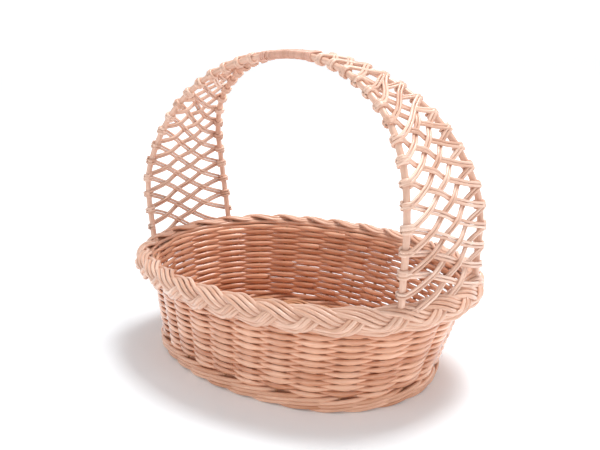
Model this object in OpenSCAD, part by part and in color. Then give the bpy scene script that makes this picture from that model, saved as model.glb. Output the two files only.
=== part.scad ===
// Oval willow shopping basket with a plaited border and a lattice handle.
// Origin: on the floor, under the middle of the rim. X runs along the basket, Z is up.

/* [Body] */
// Length of the wall at the top, over the weave
rim_l = 380; // [300:1:460]
// Width of the wall at the top, over the weave
rim_w = 254; // [200:1:310]
// Length of the wall at the floor, over the weave
base_l = 334; // [260:1:400]
// Width of the wall at the floor, over the weave
base_w = 222; // [170:1:270]
// How far the base sits off the middle of the rim, along the length
base_shift_x = -7; // [-10:1:10]
// How far the base sits off the middle of the rim, along the width
base_shift_y = -9; // [-10:1:10]
// End radius of the oval as a share of its half width
fullness = 0.875; // [0.75:0.005:0.95]

/* [Weave] */
// Thickness of the woven wall
weave_t = 10.5; // [9:0.5:14]
// Height of one row of weaving
row_h = 3.4; // [2.8:0.1:4.2]
// Rows in one of the seven bands
rows_per_band = 3; // [2:1:4]
// Height of the upsett wale that the basket stands on
upsett_h = 15; // [12:0.5:20]

/* [Stakes] */
// Number of upright stakes
stake_count = 28; // [20:2:36]
// Diameter of a stake
stake_d = 4; // [3:0.1:5]
// Length of a stake's foot inside the base
stake_foot = 32; // [20:1:45]
// How far a stake's top reaches into the border
stake_top = 14; // [6:1:18]
// Clearance around every rod that passes through weaving
rod_clear = 0.2; // [0.1:0.05:0.4]

/* [Base] */
// Height of the base's underside above the floor
base_lift = 1; // [0.5:0.5:4]
// Weaving above and below the sticks and feet that it holds
base_cover = 1; // [0.8:0.1:2]
// Gap between the stakes' feet and the sticks that lie over them
stick_gap = 0.5; // [0.4:0.1:1]
// Width of one ring of base weaving
base_ring = 25; // [20:1:30]
// Spacing of the sticks across the width
cross_pitch = 38; // [30:1:44]
// Diameter of a stick across the width
cross_d = 6.5; // [6:0.1:7]
// Diameter of a stick along the length
long_d = 4; // [3:0.1:4.4]
// Spacing of the sticks along the length
long_pitch = 15; // [12:1:20]

/* [Border] */
// Height of the plaited border
border_h = 26; // [20:1:32]
// How far the border stands out from the wall
border_out = 17; // [12:1:22]

/* [Handle] */
// Diameter of a handle hoop
hoop_d = 6.5; // [5:0.1:9]
// How far outside the wall's outer line a hoop goes down through the border
hoop_seat = 8; // [5:0.5:11]
// Distance between the two hoops at the rim
hoop_gap = 114; // [80:1:140]
// Rise of the hoops above the rim
hoop_rise = 206; // [160:1:260]
// Depth of the hoops below the rim
hoop_sink = 68; // [40:1:80]
// Diameter of a hoop's whittled foot
shank_d = 4.6; // [3:0.1:5]
// Distance from the rim to the first lashing, along a hoop
lash_first = 28.5; // [20:0.5:40]
// Distance between lashings along a hoop
lash_pitch = 19.4; // [16:0.2:26]
// Diameter of a lashing rod
lash_d = 2.1; // [1.5:0.1:3]
// Diameter of a lattice strand
strand_d = 3.2; // [2:0.1:4]
// Length of the wrapped grip
grip_l = 66; // [50:1:110]
// Thickness of the grip's wrapping
wrap_t = 1.4; // [1:0.1:2.5]

/* [Hidden] */
$fn = 48;
facets = 112;
ball_over = 0.04;
over = 1;

// Counts that the list of nodes fixes
bands = 7;
cross_sticks = 7;

band_h = row_h * rows_per_band;
wall_top = upsett_h + band_h * bands;
rim_z = wall_top + border_h;
half_t = weave_t / 2;
foot_z = base_lift + base_cover + stake_d / 2;
stick_z = foot_z + stake_d / 2 + stick_gap + cross_d / 2;
base_t = stick_z + cross_d / 2 + base_cover - base_lift;

willow = "#e3ab86";
willow_pale = "#efc8a6";
willow_deep = "#cf8e66";
peeled = "#e6b795";

// ---- ovals of four arcs -------------------------------------------------------------------
// An oval is [half length, half width, end radius]. All its parallel lines share four centres.
function oval(a, b) = [a, b, fullness * b];
function side_r(o) = (pow(o[0] - o[2], 2) + o[1] * o[1] - o[2] * o[2]) / (2 * (o[1] - o[2]));
function join_angle(o) = atan2(side_r(o) - o[1], o[0] - o[2]);

// Outer line of the wall at height z, and its middle there.
function rise_share(z) = z / wall_top;
function wall_oval(z) = oval(
    (base_l + (rim_l - base_l) * rise_share(z)) / 2,
    (base_w + (rim_w - base_w) * rise_share(z)) / 2);
function wall_shift(z) = [base_shift_x, base_shift_y, 0] * (1 - rise_share(z));

// Point on a line `off` outside oval `o`, at share `s` of its length from +X.
function quarter_point(o, off, d) =
    let (phi = join_angle(o), r = o[2] + off, big = side_r(o) + off,
        end_len = r * phi * PI / 180)
    d < end_len
        ? let (t = d / r * 180 / PI) [o[0] - o[2] + r * cos(t), r * sin(t), 0]
        : let (t = phi + (d - end_len) / big * 180 / PI)
            [big * cos(t), big * sin(t) - side_r(o) + o[1], 0];
function quarter_len(o, off) =
    let (phi = join_angle(o))
    ((o[2] + off) * phi + (side_r(o) + off) * (90 - phi)) * PI / 180;
function oval_point(o, off, s) =
    let (q = s * 4, k = floor(q), f = q - k, len = quarter_len(o, off),
        p = quarter_point(o, off, (k % 2 == 0 ? f : 1 - f) * len))
    [k == 1 || k == 2 ? -p.x : p.x, k > 1 ? -p.y : p.y, 0];

// Outline `off` outside an oval, as points at equal steps along it.
function outline(o, off) = [for (i = [0:facets - 1]) let (p = oval_point(o, off, i / facets)) [p.x, p.y]];

// Upright ring between two lines parallel to an oval.
module oval_ring(o, inner, outer, h) {
    linear_extrude(h) difference() {
        polygon(outline(o, outer));
        polygon(outline(o, inner));
    }
}

// Closed ring with the given section; the section's x = 0 lies on the oval, x > 0 outside it.
module oval_sweep(o, section) {
    n = len(section);
    pts = [for (i = [0:facets - 1]) for (q = section)
        oval_point(o, q.x, i / facets) + [0, 0, q.y]];
    faces = [for (i = [0:facets - 1]) for (k = [0:n - 1])
        let (j = (i + 1) % facets, m = (k + 1) % n)
        for (t = [[i * n + k, j * n + k, j * n + m], [i * n + k, j * n + m, i * n + m]]) t];
    polyhedron(pts, faces);
}

// ---- bent rods ----------------------------------------------------------------------------
function unit(v) = v / norm(v);
// Straight rod from p to q.
module straight_rod(p, q, r) {
    d = unit(q - p);
    translate(p) rotate([0, acos(d.z), atan2(d.y, d.x)]) cylinder(r = r, h = norm(q - p));
}

// Rod along points. A ball a hair wider than the rod closes each bend, and the straights stop
// just short of its middle.
module bent_rod(pts, r) {
    last = len(pts) - 1;
    gap = 0.6 * sqrt(pow(r + ball_over, 2) - r * r);
    for (i = [0:last - 1]) {
        d = unit(pts[i + 1] - pts[i]);
        straight_rod(pts[i] + d * (i == 0 ? 0 : gap), pts[i + 1] - d * (i == last - 1 ? 0 : gap), r);
    }
    for (i = [1:last - 1]) translate(pts[i]) sphere(r = r + ball_over);
}

// ---- base ---------------------------------------------------------------------------------
base_centre = [base_shift_x, base_shift_y, 0];
base_inset = weave_t + rod_clear;
base_oval = wall_oval(0);

// Reach of the base inside the wale, along a stick that lies `off` the middle.
function reach_x(off) = base_oval[0] - base_oval[2]
    + sqrt(pow(base_oval[2] - base_inset, 2) - off * off);
function reach_y(off) = base_oval[1] - side_r(base_oval)
    + sqrt(pow(side_r(base_oval) - base_inset, 2) - off * off);

function cross_x(i) = (i - (cross_sticks - 1) / 2) * cross_pitch;
function end_reach_y(off) = sqrt(pow(base_oval[2] - base_inset, 2)
    - pow(abs(off) - base_oval[0] + base_oval[2], 2));
function stick_reach(off) =
    let (join_x = base_oval[0] - base_oval[2]
        + (base_oval[2] - base_inset) * cos(join_angle(base_oval)))
    (abs(off) > join_x ? end_reach_y(off) : reach_y(off)) - 1;

module long_rod(i, grow) {
    y = (i - 1) * long_pitch;
    reach = reach_x(y) - 1;
    translate(base_centre + [0, y, stick_z]) rotate([0, 90, 0])
        cylinder(r = long_d / 2 + grow, h = 2 * (reach + grow), center = true);
}

module cross_rod(i, grow) {
    reach = stick_reach(cross_x(i));
    translate(base_centre + [cross_x(i), 0, stick_z]) rotate([90, 0, 0])
        cylinder(r = cross_d / 2 + grow, h = 2 * (reach + grow), center = true);
}

module base_cross_stick(i) {
    color(willow_deep) difference() {
        cross_rod(i, 0);
        for (k = [0:2]) long_rod(k, rod_clear / 2);
    }
}

module base_long_stick(i) {
    color(willow_deep) long_rod(i, 0);
}

module base_channels() {
    for (i = [0:2]) long_rod(i, rod_clear);
    for (i = [0:cross_sticks - 1]) cross_rod(i, rod_clear);
}

module base_round(inner, outer, cut_feet) {
    color(willow) difference() {
        translate(base_centre + [0, 0, base_lift]) oval_ring(base_oval, -outer, -inner, base_t);
        base_channels();
        if (cut_feet) for (i = [0:stake_count - 1]) stake_foot_rod(i, rod_clear);
    }
}

module base_weave_centre() {
    inset = base_inset + 2 * base_ring + rod_clear;
    color(willow) difference() {
        translate(base_centre + [0, 0, base_lift]) linear_extrude(base_t)
            polygon(outline(base_oval, -inset));
        base_channels();
    }
}

// ---- stakes -------------------------------------------------------------------------------
function stake_low(i) = oval_point(base_oval, -half_t, (i + 0.5) / stake_count)
    + base_centre + [0, 0, foot_z];
function stake_high(i) = oval_point(wall_oval(wall_top), -half_t, (i + 0.5) / stake_count)
    + [0, 0, wall_top];
function stake_dir(i) = unit(stake_high(i) - stake_low(i));
function stake_in(i) =
    let (s = (i + 0.5) / stake_count)
    unit(oval_point(base_oval, -half_t - 1, s) - oval_point(base_oval, -half_t, s));
function stake_points(i, extra) = [
    stake_low(i) + stake_in(i) * (stake_foot + extra),
    stake_low(i),
    stake_high(i) + stake_dir(i) * (stake_top + extra)];

module stake(i, grow) {
    bent_rod(stake_points(i, grow), stake_d / 2 + grow);
}

// Only the foot of a stake, which the base is cut with.
module stake_foot_rod(i, grow) {
    p = stake_points(i, grow);
    straight_rod(p[0], p[1], stake_d / 2 + grow);
}

// Point of the line from p to q at height z.
function at_height(p, q, z) = p + (q - p) * (z - p.z) / (q.z - p.z);

// Eight-sided channel for a rod of radius r.
module channel(p, q, r) {
    straight_rod(p, q, (r + rod_clear) / cos(22.5), $fn = 8);
}

module stake_channels(low, high) {
    for (i = [0:stake_count - 1])
        channel(at_height(stake_low(i), stake_high(i), low),
            at_height(stake_low(i), stake_high(i), high), stake_d / 2);
}

// The stakes in four groups: around the right end, the back, the left end and the front.
module stake_group(first) {
    quarter = stake_count / 4;
    color(willow_deep) for (k = [0:stake_count - 1])
        if (floor(((k + quarter / 2) % stake_count) / quarter) == first) stake(k, 0);
}

// ---- wall ---------------------------------------------------------------------------------
module wall_ring(z, h) {
    translate(wall_shift(z + h / 2) + [0, 0, z]) oval_ring(wall_oval(z + h / 2), -weave_t, 0, h);
}

module upsett_wale() {
    color(willow_pale) difference() {
        wall_ring(0, upsett_h);
        stake_channels(foot_z - stake_d / 2 - over / 2, upsett_h + over);
        for (i = [0:stake_count - 1]) channel(stake_low(i) + stake_in(i) * weave_t,
            stake_low(i) - stake_in(i) * (stake_d / 2 + rod_clear), stake_d / 2);
    }
}

module weave_band(n) {
    low = upsett_h + (n - 1) * band_h;
    color(willow) difference() {
        wall_ring(low, band_h);
        stake_channels(low - over, low + band_h + over);
        if (low + band_h > shank_end(0, 0).z) for (mx = [0, 1]) for (my = [0, 1])
            channel(at_height(shank_end(mx, my), shank_knee(mx, my), max(low - over, shank_end(0, 0).z - 1)),
                at_height(shank_end(mx, my), shank_knee(mx, my), low + band_h + over), shank_d / 2);
    }
}

// ---- border -------------------------------------------------------------------------------
border_section = [[-weave_t, 0], [-weave_t + 1.5, border_h * 0.5], [-weave_t / 2, border_h * 0.86],
    [0, border_h], [border_out * 0.5, border_h * 0.95], [border_out * 0.88, border_h * 0.65],
    [border_out, border_h * 0.38], [border_out * 0.82, border_h * 0.1], [border_out * 0.3, 0]];

module plait_border() {
    color(willow_pale) difference() {
        translate([0, 0, wall_top]) oval_sweep(wall_oval(wall_top), border_section);
        stake_channels(wall_top - over, wall_top + stake_top + 1);
        for (mx = [0, 1]) for (my = [0, 1])
            channel(at_height(shank_knee(mx, my), flip(half_hoop[0], mx, my), wall_top - over),
                at_height(shank_knee(mx, my), flip(half_hoop[0], mx, my), rim_z + over), shank_d / 2);
    }
}

// ---- handle -------------------------------------------------------------------------------
hoop_r = hoop_d / 2;
grip_y = hoop_r + rod_clear;
// Half the distance between the two places where one hoop goes through the rim.
hoop_half_span = let (o = wall_oval(wall_top), r = o[2] + hoop_seat, y = hoop_gap / 2)
    o[0] - o[2] + sqrt(r * r - y * y);
// Key points of half a hoop, as shares of [half span, half gap, rise], foot first.
hoop_shape = [[1, 1, -0.3], [1, 1, 0], [1.022, 0.965, 0.316], [0.954, 0.735, 0.555],
    [0.807, 0.505, 0.745], [0.572, 0.295, 0.89], [0.3, 0.095, 0.972], [0, 0, 1],
    [-0.3, 0.095, 0.972]];
hoop_keys = [for (k = hoop_shape)
    [k.x * hoop_half_span, grip_y + k.y * (hoop_gap / 2 - grip_y), rim_z + k.z * hoop_rise]];

function through(p, t) =
    let (i = min(floor(t), len(p) - 4), f = t - i, a = p[i], b = p[i + 1], c = p[i + 2], d = p[i + 3])
    0.5 * (2 * b + (c - a) * f + (2 * a - 5 * b + 4 * c - d) * f * f
        + (3 * b - a - 3 * c + d) * f * f * f);

curve_steps = 120;
curve_t = [for (i = [0:curve_steps]) i * (len(hoop_keys) - 3) / curve_steps];
curve_pts = [for (t = curve_t) through(hoop_keys, t)];
curve_len = [for (i = 0, s = 0; i <= curve_steps; i = i + 1,
    s = i <= curve_steps ? s + norm(curve_pts[i] - curve_pts[i - 1]) : s) s];
half_len = curve_len[curve_steps];
length_table = [for (i = [0:curve_steps]) [curve_len[i], curve_t[i]]];

// Point of the hoop's middle line, `s` along it from the rim.
function hoop_at(s) = through(hoop_keys, lookup(s, length_table));

// Lashings sit in the middle of the straight stretches.
lash_count = 1 + floor((half_len - grip_l / 2 - lash_first) / lash_pitch - 0.5);
grip_start = half_len - grip_l / 2;
half_hoop = [hoop_at(0),
    for (i = [0:lash_count]) hoop_at(lash_first + (i - 0.5) * lash_pitch),
    hoop_at(grip_start), hoop_at(grip_start + grip_l / 3)];
function flip(p, mx, my) = [mx == 1 ? -p.x : p.x, my == 1 ? -p.y : p.y, p.z];

// Below the rim the foot leans in to the middle of the wall.
function shank_end(mx, my) =
    let (z = rim_z - hoop_sink, o = wall_oval(z), y = hoop_gap / 2 * 0.94, r = o[2] - half_t)
    wall_shift(z) + flip([o[0] - o[2] + sqrt(r * r - y * y), y, z], mx, my);
function shank_knee(mx, my) =
    let (z = wall_top, o = wall_oval(z), y = hoop_gap / 2, r = o[2] - half_t)
    wall_shift(z) + flip([o[0] - o[2] + sqrt(r * r - y * y), y, z], mx, my);

// Round rod along points, with its own radius at each, in one skin.
module tapered_rod(pts, radii) {
    n = len(pts);
    sides = 14;
    rings = [for (i = [0:n - 1])
        let (t = unit(pts[min(i + 1, n - 1)] - pts[max(i - 1, 0)]), u = unit(cross(t, [0, 1, 0])),
            v = cross(t, u))
        for (k = [0:sides - 1]) pts[i]
            + (u * cos(k * 360 / sides) + v * sin(k * 360 / sides)) * radii[i]];
    skin = [for (i = [0:n - 2]) for (k = [0:sides - 1])
        let (m = (k + 1) % sides, a = i * sides, b = a + sides)
        for (t = [[a + k, a + m, b + m], [a + k, b + m, b + k]]) t];
    polyhedron(rings, concat(skin, [[for (k = [sides - 1:-1:0]) k]],
        [[for (k = [0:sides - 1]) (n - 1) * sides + k]]));
}

// A hoop with its whittled feet, which reach down into the wall.
module hoop(my) {
    half = [for (i = [1:len(half_hoop) - 1]) half_hoop[i]];
    rim = half_hoop[0];
    shoulder = rim + unit(half_hoop[1] - rim) * shank_d / 2;
    foot = [shank_end(0, 0), shank_knee(0, 0), rim, shoulder];
    foot_r = [shank_d / 2, shank_d / 2, shank_d / 2, hoop_r];
    run = concat(foot, half);
    run_r = concat(foot_r, [for (p = half) hoop_r]);
    last = len(run) - 1;
    color(peeled) tapered_rod(
        concat([for (i = [0:last]) hoop_side(run[i], i, 0, my)],
            [for (i = [last:-1:0]) hoop_side(run[i], i, 1, my)]),
        concat(run_r, [for (i = [last:-1:0]) run_r[i]]));
}

// The foot's two lowest points follow the wall, which isn't the same at both ends.
function hoop_side(p, i, mx, my) =
    i == 0 ? shank_end(mx, my) : i == 1 ? shank_knee(mx, my) : flip(p, mx, my);

function lash_at(k, mx, my) = flip((half_hoop[k + 1] + half_hoop[k + 2]) / 2, mx, my);
function lash_dir(k, mx, my) = flip(unit(half_hoop[k + 2] - half_hoop[k + 1]), mx, my);

module lashings(mx, my) {
    color(peeled) for (k = [0:lash_count - 1]) {
        half = lash_dir(k, mx, my) * lash_d;
        p = lash_at(k, mx, my);
        difference() {
            straight_rod(p - half, p + half, hoop_r + lash_d);
            straight_rod(p - 2 * half, p + 2 * half, hoop_r + rod_clear / 2);
        }
    }
}

// A strand runs from a lashing on one hoop to a higher one on the other, and keeps to its own
// side of the panel, so that rising and falling strands pass each other.
// One family climbs three lashings and the other two, and both climb less near the grip.
function steep(mx, my) = mx + my == 1;
function strand_climb(k, mx, my) = k < 6 && steep(mx, my) ? 3 : k < 9 ? 2 : 1;
function panel_out(p, mx) = unit(flip([1, 0, 0.9], mx, 0)) * (strand_d / 2 + rod_clear);
// The lowest strands reach at most this share of the way across, to stay clear of the hoop.
border_reach_share = 0.9;
function border_mid(y, mx) =
    let (o = wall_oval(wall_top), r = o[2] + border_out * 0.4)
    flip([o[0] - o[2] + sqrt(r * r - y * y), y, rim_z + strand_d / 2], mx, 0);

module lattice_strand(p, q, cut_p, cut_q) {
    d = unit(q - p);
    straight_rod(p + d * cut_p, q - d * cut_q, strand_d / 2);
}

module lattice(mx, my) {
    side = my == 0 ? 1 : -1;
    clear = hoop_r + lash_d + strand_d / 2 + rod_clear;
    shift = side * panel_out(0, mx);
    climb = strand_climb(0, mx, my);
    color(peeled) {
        for (k = [0:lash_count - 1]) {
            top = k + strand_climb(k, mx, my);
            if (top < lash_count)
                lattice_strand(lash_at(k, mx, my) + shift, lash_at(top, mx, 1 - my) + shift,
                    clear, clear);
        }
        for (top = [0:climb - 1]) {
            q = lash_at(top, mx, 1 - my);
            share = min((q.z - rim_z) / (climb * lash_pitch), border_reach_share);
            p = border_mid(q.y * (1 - 2 * share), mx) + [shift.x * 1.35, 0, 0];
            lattice_strand(p, q + shift, 0, clear);
        }
    }
}

// Outline with straight top and bottom and round ends, w half wide and r half high.
function stadium(w, r) = [for (k = [0:31]) let (a = (k + 0.5) * 11.25)
    [(cos(a) > 0 ? 1 : -1) * (w - r) + r * cos(a), r * sin(a)]];

// Straight sleeve around both hoops, with room inside for their arch.
module grip_wrap() {
    last = len(half_hoop) - 1;
    low = half_hoop[last - 1];
    arch = half_hoop[last].z - low.z;
    w = low.y + hoop_r + rod_clear;
    r = hoop_r + arch / 2 + rod_clear;
    color(willow) translate([-low.x, 0, low.z + arch / 2]) rotate([90, 0, 90])
        linear_extrude(2 * low.x) difference() {
            polygon(stadium(w + wrap_t, r + wrap_t));
            polygon(stadium(w, r));
        }
}

base_cross_stick(0);  // base_cross_stick_1
base_cross_stick(1);  // base_cross_stick_2
base_cross_stick(2);  // base_cross_stick_3
base_cross_stick(3);  // base_cross_stick_4
base_cross_stick(4);  // base_cross_stick_5
base_cross_stick(5);  // base_cross_stick_6
base_cross_stick(6);  // base_cross_stick_7
base_long_stick(0);  // base_long_stick_1
base_long_stick(1);  // base_long_stick_2
base_long_stick(2);  // base_long_stick_3
base_weave_centre();
base_round(base_inset + base_ring, base_inset + 2 * base_ring, false);  // base_weave_middle
base_round(base_inset, base_inset + base_ring, true);  // base_weave_outer
upsett_wale();
stake_group(0);  // stakes_right
stake_group(1);  // stakes_back
stake_group(2);  // stakes_left
stake_group(3);  // stakes_front
weave_band(1);  // weave_band_1
weave_band(2);  // weave_band_2
weave_band(3);  // weave_band_3
weave_band(4);  // weave_band_4
weave_band(5);  // weave_band_5
weave_band(6);  // weave_band_6
weave_band(7);  // weave_band_7
plait_border();
hoop(1);  // hoop_front
hoop(0);  // hoop_back
lashings(0, 1);  // lashings_front_right
lashings(1, 1);  // lashings_front_left
lashings(0, 0);  // lashings_back_right
lashings(1, 0);  // lashings_back_left
lattice(0, 1);  // lattice_rising_right
lattice(1, 1);  // lattice_rising_left
lattice(0, 0);  // lattice_falling_right
lattice(1, 0);  // lattice_falling_left
grip_wrap();
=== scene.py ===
# A woven willow basket with a tall lattice handle. Sizes are in metres, in the frame of its
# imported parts, which say where every piece goes.
import math
import random

import bpy
import numpy as np
from mathutils import Matrix, Vector


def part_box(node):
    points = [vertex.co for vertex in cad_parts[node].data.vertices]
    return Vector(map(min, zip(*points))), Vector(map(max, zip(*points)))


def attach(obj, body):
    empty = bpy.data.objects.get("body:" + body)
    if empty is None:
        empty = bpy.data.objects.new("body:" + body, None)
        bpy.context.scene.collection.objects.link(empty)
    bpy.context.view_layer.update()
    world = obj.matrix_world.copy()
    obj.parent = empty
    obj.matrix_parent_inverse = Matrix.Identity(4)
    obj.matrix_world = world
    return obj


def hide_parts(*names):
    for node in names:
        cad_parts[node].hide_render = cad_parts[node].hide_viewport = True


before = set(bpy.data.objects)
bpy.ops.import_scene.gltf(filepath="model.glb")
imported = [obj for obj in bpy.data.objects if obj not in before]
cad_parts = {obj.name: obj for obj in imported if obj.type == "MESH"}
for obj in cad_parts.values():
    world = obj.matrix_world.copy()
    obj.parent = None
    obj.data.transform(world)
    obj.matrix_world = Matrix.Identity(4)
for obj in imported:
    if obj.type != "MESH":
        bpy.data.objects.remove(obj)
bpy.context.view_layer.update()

bpy.ops.object.select_all(action="DESELECT")


# ---- base sticks ----------------------------------------------------------------------------
# Seven stout sticks lie across the base and three thinner ones run through slits in them. They
# are cut from peeled willow, and both ends are pared to a blunt point with a knife.

stick_pale = (0.74, 0.47, 0.30, 1)
stick_deep = (0.47, 0.22, 0.11, 1)


def willow_finish(name, pale, deep, gloss, grain_depth, scar_share):
    """Peeled willow: long streaks along each rod, a tone of its own for each rod, soft blotches
    and now and then the brown scar of a leaf bud. It reads the rod's own UV map and tone."""
    mat = bpy.data.materials.new(name)
    mat.use_nodes = True
    nodes, links = mat.node_tree.nodes, mat.node_tree.links
    skin = nodes["Principled BSDF"]
    skin.inputs["IOR"].default_value = 1.45
    skin.inputs["Coat Weight"].default_value = gloss
    skin.inputs["Coat Roughness"].default_value = 0.16
    uv = nodes.new("ShaderNodeTexCoord")
    tone = nodes.new("ShaderNodeAttribute")
    tone.attribute_name = "tone"

    def number(kind, a, b, clamp=False):
        node = nodes.new("ShaderNodeMath")
        node.operation = kind
        node.use_clamp = clamp
        for slot, value in enumerate((a, b)):
            if isinstance(value, (int, float)):
                node.inputs[slot].default_value = value
            else:
                links.new(value, node.inputs[slot])
        return node.outputs[0]

    def noise(source, stretch, scale, detail, rough=0.5):
        """Noise on coordinates stretched along the rod and moved by the rod's tone."""
        place = nodes.new("ShaderNodeMapping")
        place.inputs["Scale"].default_value = stretch
        links.new(source, place.inputs["Vector"])
        shift = nodes.new("ShaderNodeCombineXYZ")
        links.new(number("MULTIPLY", tone.outputs["Fac"], 57.0), shift.inputs["Z"])
        links.new(shift.outputs[0], place.inputs["Location"])
        node = nodes.new("ShaderNodeTexNoise")
        node.inputs["Scale"].default_value = scale
        node.inputs["Detail"].default_value = detail
        node.inputs["Roughness"].default_value = rough
        links.new(place.outputs[0], node.inputs["Vector"])
        return node.outputs["Fac"]

    streak = noise(uv.outputs["UV"], (9.0, 34.0, 1.0), 1.0, 4.0, 0.62)
    fibre = noise(uv.outputs["UV"], (34.0, 120.0, 1.0), 1.0, 3.0, 0.6)
    blotch = noise(uv.outputs["Object"], (1.0, 1.0, 1.0), 38.0, 2.0)

    scar_place = nodes.new("ShaderNodeMapping")
    scar_place.inputs["Scale"].default_value = (1.6, 19.0, 1.0)
    links.new(uv.outputs["UV"], scar_place.inputs["Vector"])
    scar_shift = nodes.new("ShaderNodeCombineXYZ")
    links.new(number("MULTIPLY", tone.outputs["Fac"], 91.0), scar_shift.inputs["Y"])
    links.new(scar_shift.outputs[0], scar_place.inputs["Location"])
    scars = nodes.new("ShaderNodeTexVoronoi")
    scars.inputs["Scale"].default_value = 1.0
    links.new(scar_place.outputs[0], scars.inputs["Vector"])
    scar = nodes.new("ShaderNodeMapRange")
    scar.inputs["From Min"].default_value = 0.055 * scar_share
    scar.inputs["From Max"].default_value = 0.02 * scar_share
    links.new(scars.outputs["Distance"], scar.inputs["Value"])

    depth = number("MULTIPLY", tone.outputs["Fac"], 0.62)
    depth = number("ADD", depth, number("MULTIPLY", number("SUBTRACT", streak, 0.5), 1.15))
    depth = number("ADD", depth, number("MULTIPLY", number("SUBTRACT", blotch, 0.5), 0.7))
    depth = number("ADD", depth, 0.12, clamp=True)
    body = nodes.new("ShaderNodeMix")
    body.data_type = "RGBA"
    body.inputs["A"].default_value = pale
    body.inputs["B"].default_value = deep
    links.new(depth, body.inputs["Factor"])
    marked = nodes.new("ShaderNodeMix")
    marked.data_type = "RGBA"
    marked.inputs["B"].default_value = (0.20, 0.075, 0.03, 1)
    links.new(number("MULTIPLY", scar.outputs["Result"], 0.75, clamp=True), marked.inputs["Factor"])
    links.new(body.outputs["Result"], marked.inputs["A"])
    links.new(marked.outputs["Result"], skin.inputs["Base Color"])

    rough = number("ADD", number("MULTIPLY", fibre, 0.22), 0.24)
    links.new(rough, skin.inputs["Roughness"])
    bump = nodes.new("ShaderNodeBump")
    bump.inputs["Strength"].default_value = grain_depth
    bump.inputs["Distance"].default_value = 0.0004
    relief = number("ADD", number("MULTIPLY", fibre, 0.6), number("MULTIPLY", streak, 0.7))
    relief = number("SUBTRACT", relief, number("MULTIPLY", scar.outputs["Result"], 0.8))
    links.new(relief, bump.inputs["Height"])
    links.new(bump.outputs[0], skin.inputs["Normal"])
    return mat


def settle(piece, finish, slot, *nodes):
    """Gives a piece its finish and its place among the parts of the basket."""
    piece.data.materials.clear()
    piece.data.materials.append(finish)
    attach(piece, "root")
    if nodes:
        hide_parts(*nodes)
    return piece


stick_willow = willow_finish("stick_willow", stick_pale, stick_deep, 0.05, 0.5, 1.0)


def base_stick(name, node):
    """A stick along the longer side of its part's box, with pared ends."""
    low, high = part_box(node)
    middle, size = (low + high) / 2, high - low
    along_x = size.x > size.y
    length, thick = max(size.x, size.y), size.z
    turn = (0, math.pi / 2, 0) if along_x else (math.pi / 2, 0, 0)
    bpy.ops.mesh.primitive_cylinder_add(
        vertices=16, radius=thick / 2, depth=length - 2 * thick, location=middle, rotation=turn)
    stick = bpy.context.object
    stick.name = name
    bpy.ops.object.transform_apply(location=True, rotation=True, scale=True)
    axis = Vector((1, 0, 0)) if along_x else Vector((0, 1, 0))
    for way in (-1, 1):
        for face in stick.data.polygons:
            face.select = face.normal.dot(axis * way) > 0.9
        bpy.ops.object.mode_set(mode="EDIT")
        bpy.ops.mesh.select_mode(type="FACE")
        bpy.ops.mesh.extrude_region_move(TRANSFORM_OT_translate={"value": axis * way * thick * 0.8})
        cut = middle + axis * way * (length / 2 - thick * 0.2)
        bpy.ops.transform.resize(value=(0.82, 0.82, 0.82), center_override=cut)
        bpy.ops.mesh.extrude_region_move(TRANSFORM_OT_translate={"value": axis * way * thick * 0.2})
        tip = middle + axis * way * (length / 2)
        bpy.ops.transform.resize(value=(0.7, 0.7, 0.7), center_override=tip)
        bpy.ops.object.mode_set(mode="OBJECT")
    long_axis = 0 if along_x else 1
    around = stick.data.uv_layers.active
    for loop in stick.data.loops:
        place = stick.data.vertices[loop.vertex_index].co
        side = math.atan2(place.z - middle.z, place[1 - long_axis] - middle[1 - long_axis])
        around.data[loop.index].uv = (abs(side) / math.pi, place[long_axis])
    shade = stick.data.attributes.new("tone", "FLOAT", "POINT")
    shade.data.foreach_set("value", [random.Random(name).random()] * len(stick.data.vertices))
    bpy.ops.object.shade_smooth_by_angle(angle=math.radians(40))
    stick.select_set(False)
    return settle(stick, stick_willow, "stake_willow", node)


cross_nodes = sorted(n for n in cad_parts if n.startswith("base_cross_stick"))
long_nodes = sorted(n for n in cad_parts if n.startswith("base_long_stick"))
for node in cross_nodes + long_nodes:
    base_stick(node.replace("base_", "willow_"), node)


# ---- base mat -------------------------------------------------------------------------------
# Thin weavers go round and round the sticks in flat ovals, over one stick and under the next,
# and each round does the opposite of the one before. Short straight rods fill the middle.

mat_pale = (0.78, 0.45, 0.27, 1)
mat_deep = (0.52, 0.22, 0.10, 1)
mat_rod = 0.00175
mat_pitch = 0.0034
spine_half = 0.0125  # the straight rods fill this far to each side of the middle
spine_pitch = 0.0036
end_round = 0.875  # end radius of every oval, as a share of its half width

wale_low, wale_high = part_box("upsett_wale")
last_low, last_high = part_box("weave_band_7")
wall_top = last_high.z
wale_z, last_z = (wale_low.z + wale_high.z) / 2, (last_low.z + last_high.z) / 2


def wall_line(z):
    """Half length, half width and middle of the wall's outer oval at height z."""
    t = (z - wale_z) / (last_z - wale_z)
    half, mid = [], []
    for i in (0, 1):
        half.append(((wale_high[i] - wale_low[i]) * (1 - t) + (last_high[i] - last_low[i]) * t) / 2)
        mid.append(((wale_high[i] + wale_low[i]) * (1 - t) + (last_high[i] + last_low[i]) * t) / 2)
    return half[0], half[1], mid[0], mid[1]


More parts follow.
